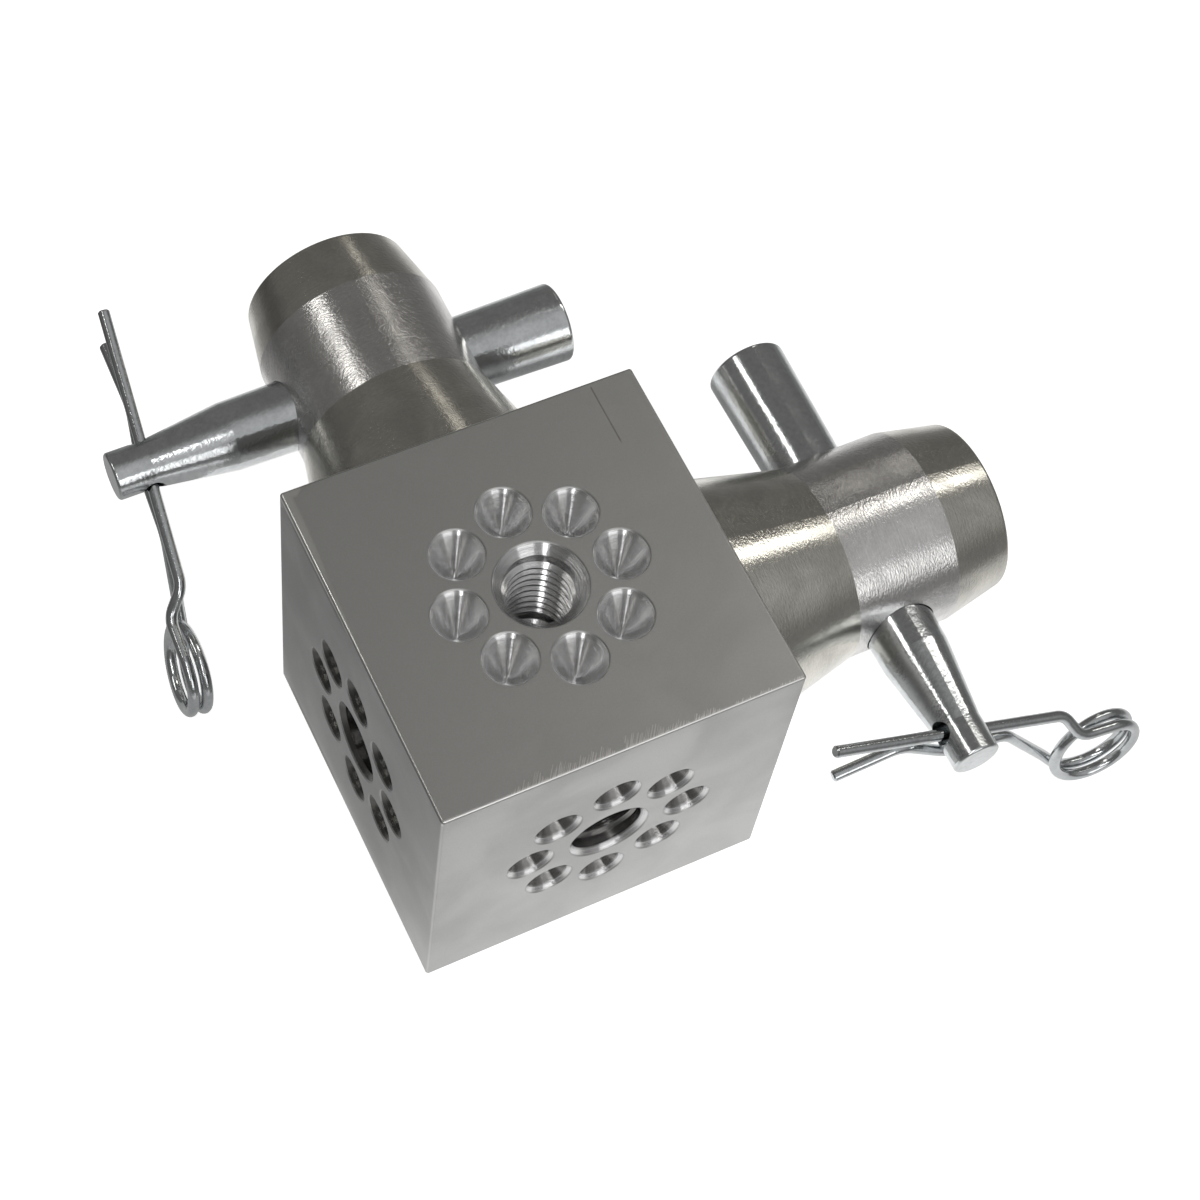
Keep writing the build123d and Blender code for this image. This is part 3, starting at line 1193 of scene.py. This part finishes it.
def floor_share(tree, place, settings):
    """Share of the floor's brightness that reflections see: a painted pool of light round the block, fading
    as round a small table in a dark room, with painted shadow beside the left face and painted shade
    between the couplers
    """
    middle = ((CAD_BOX[0].x + CAD_BOX[1].x) / 2, (CAD_BOX[0].y + CAD_BOX[1].y) / 2, 0)
    away = vector_math(tree, "DISTANCE", place, middle)
    bright, dim = settings.bright_reach, settings.dim_reach
    painted_light_pool = fade(tree, away, bright, dim, settings.near_share, settings.dim_share)

    # Painted shadow: the floor beside the left face is dimmer in reflections
    across, back, _ = split(tree, place)
    painted_left_shadow = multiply(
        tree,
        fade(tree, across, BLOCK_LOW.x, BLOCK_LOW.x - MM, 0.0, 1.0 - settings.left_shadow_share),
        fade(tree, back, BLOCK_LOW.y - 5 * MM, 0.0),
    )
    beside = calculate(tree, "SUBTRACT", 1.0, painted_left_shadow)

    # The corner of the floor between the two couplers lies in their shade
    shaded = (BLOCK_HIGH.x + 8 * MM, BLOCK_HIGH.y + 8 * MM, 0)
    from_shade = vector_math(tree, "DISTANCE", place, shaded)
    shade = fade(tree, from_shade, settings.corner_core, settings.corner_rim, settings.corner_share, 1.0)
    return multiply(tree, painted_light_pool, multiply(tree, beside, shade))


def make_floor_finish(settings):
    """White floor that keeps its shadows and glows for the camera and for reflections; for reflections its
    colour and glow fade away from the block, a painted pool of light, and carry painted shade beside the
    left face and between the couplers
    """
    finish = bpy.data.materials.new("studio_floor")
    tree, surface = cleared_tree(finish, "ShaderNodeOutputMaterial")
    ray = tree.nodes.new("ShaderNodeLightPath").outputs
    place = tree.nodes.new("ShaderNodeTexCoord").outputs["Object"]
    # Only reflections see the painted pool of light and the painted shade on the floor
    hidden = calculate(tree, "SUBTRACT", 1.0, floor_share(tree, place, settings))
    shown = calculate(tree, "SUBTRACT", 1.0, multiply(tree, ray["Is Glossy Ray"], hidden))
    paint = add_node(tree, "ShaderNodeBsdfDiffuse", {"Color": tint(tree, settings.floor_colour, shown)})
    bounced = calculate(tree, "MAXIMUM", ray["Is Glossy Ray"], ray["Is Transmission Ray"])
    seen = calculate(tree, "MAXIMUM", ray["Is Camera Ray"], bounced)
    strength = multiply(tree, seen, shown, settings.floor_glow)
    glow = add_node(tree, "ShaderNodeEmission", {"Strength": strength})
    both = add_node(tree, "ShaderNodeAddShader", {0: paint.outputs[0], 1: glow.outputs[0]})
    tree.links.new(both.outputs[0], surface)
    return finish


def add_floor(settings):
    """Wide flat floor under the object"""
    sheet = bmesh.new()
    bmesh.ops.create_grid(sheet, x_segments=1, y_segments=1, size=settings.floor_size / 2)
    mesh = bpy.data.meshes.new("studio_floor")
    sheet.to_mesh(mesh)
    sheet.free()
    mesh.materials.append(make_floor_finish(settings))
    floor = bpy.data.objects.new("studio_floor", mesh)
    bpy.context.scene.collection.objects.link(floor)


def make_room(settings):
    """Dim room round the studio, brighter in front of the block than behind it"""
    world = bpy.data.worlds.new("studio_room")
    bpy.context.scene.world = world
    tree, surface = cleared_tree(world, "ShaderNodeOutputWorld")
    way = tree.nodes.new("ShaderNodeTexCoord").outputs["Generated"]
    facing = vector_math(tree, "DOT_PRODUCT", way, settings.room_front)
    bright = fade(tree, facing, settings.room_turn, 1.0)
    colour = blend(tree, bright, settings.room_dim, settings.room_bright)
    background = add_node(tree, "ShaderNodeBackground", {"Color": colour})
    tree.links.new(background.outputs[0], surface)


class JUNCTION_OT_studio(bpy.types.Operator):
    """Sets up the camera, floor, room and lamps"""

    bl_idname = "junction.studio"
    bl_label = "Studio"

    def execute(self, context):
        settings = context.scene.junction_stage
        context.scene.view_settings.view_transform = "Standard"
        add_camera(settings)
        add_floor(settings)
        make_room(settings)

        add_lamp("left_strip", (-0.80, 0.0, 1.25), (-0.80, 0.95, 1.25), 0.22, 3.5, (1, 0.985, 0.95))
        add_lamp("right_strip", (0.50, 0.24, 1.25), (1.50, 0.28, 1.25), 0.24, 3.5, (1, 0.975, 0.92))
        add_lamp("back_strip", towards(46, 47, 1.3), towards(61, 22, 1.3), 0.05, 2.0, (1, 0.96, 0.88))
        add_lamp("window", towards(-82, 8, 1.3), towards(-82, 34, 1.3), 0.68, 1.5)
        add_lamp("camera_side", towards(-120, 30, 1.3), towards(-120, 72, 1.3), 0.11, 6.5)
        add_lamp("key", towards(-75, 52, 1.6), towards(-35, 52, 1.6), 0.8, 1.55, in_reflections=False)
        return {"FINISHED"}


class JUNCTION_PT_panel(bpy.types.Panel):
    """Lists the steps that dress the junction block"""

    bl_idname = "JUNCTION_PT_panel"
    bl_label = "Junction Block"
    bl_space_type = "VIEW_3D"
    bl_region_type = "UI"
    bl_category = "Junction Block"

    def draw(self, context):
        for step in STEPS:
            self.layout.operator(step.bl_idname)


STEPS = (
    JUNCTION_OT_block,
    JUNCTION_OT_couplers,
    JUNCTION_OT_pins_and_clips,
    JUNCTION_OT_fixings,
    JUNCTION_OT_studio,
)
SETTINGS = {
    "junction_thread": ThreadSettings,
    "junction_block": BlockSettings,
    "junction_wear": WearAndHighlightSettings,
    "junction_coupler": CouplerSettings,
    "junction_zinc": ZincSettings,
    "junction_hardware": HardwareSettings,
    "junction_stage": StageSettings,
}


def register():
    """Registers the settings, operators and panel"""
    for name, group in SETTINGS.items():
        bpy.utils.register_class(group)
        setattr(bpy.types.Scene, name, bpy.props.PointerProperty(type=group))
    for step in STEPS:
        bpy.utils.register_class(step)
    bpy.utils.register_class(JUNCTION_PT_panel)


def unregister():
    """Takes them out again, last first"""
    bpy.utils.unregister_class(JUNCTION_PT_panel)
    for step in reversed(STEPS):
        bpy.utils.unregister_class(step)
    for name, group in reversed(SETTINGS.items()):
        delattr(bpy.types.Scene, name)
        bpy.utils.unregister_class(group)


def main():
    """Runs the steps in order"""
    register()
    bpy.ops.junction.block()
    bpy.ops.junction.couplers()
    bpy.ops.junction.pins_and_clips()
    bpy.ops.junction.fixings()
    bpy.ops.junction.studio()


if __name__ == "__main__":
    main()
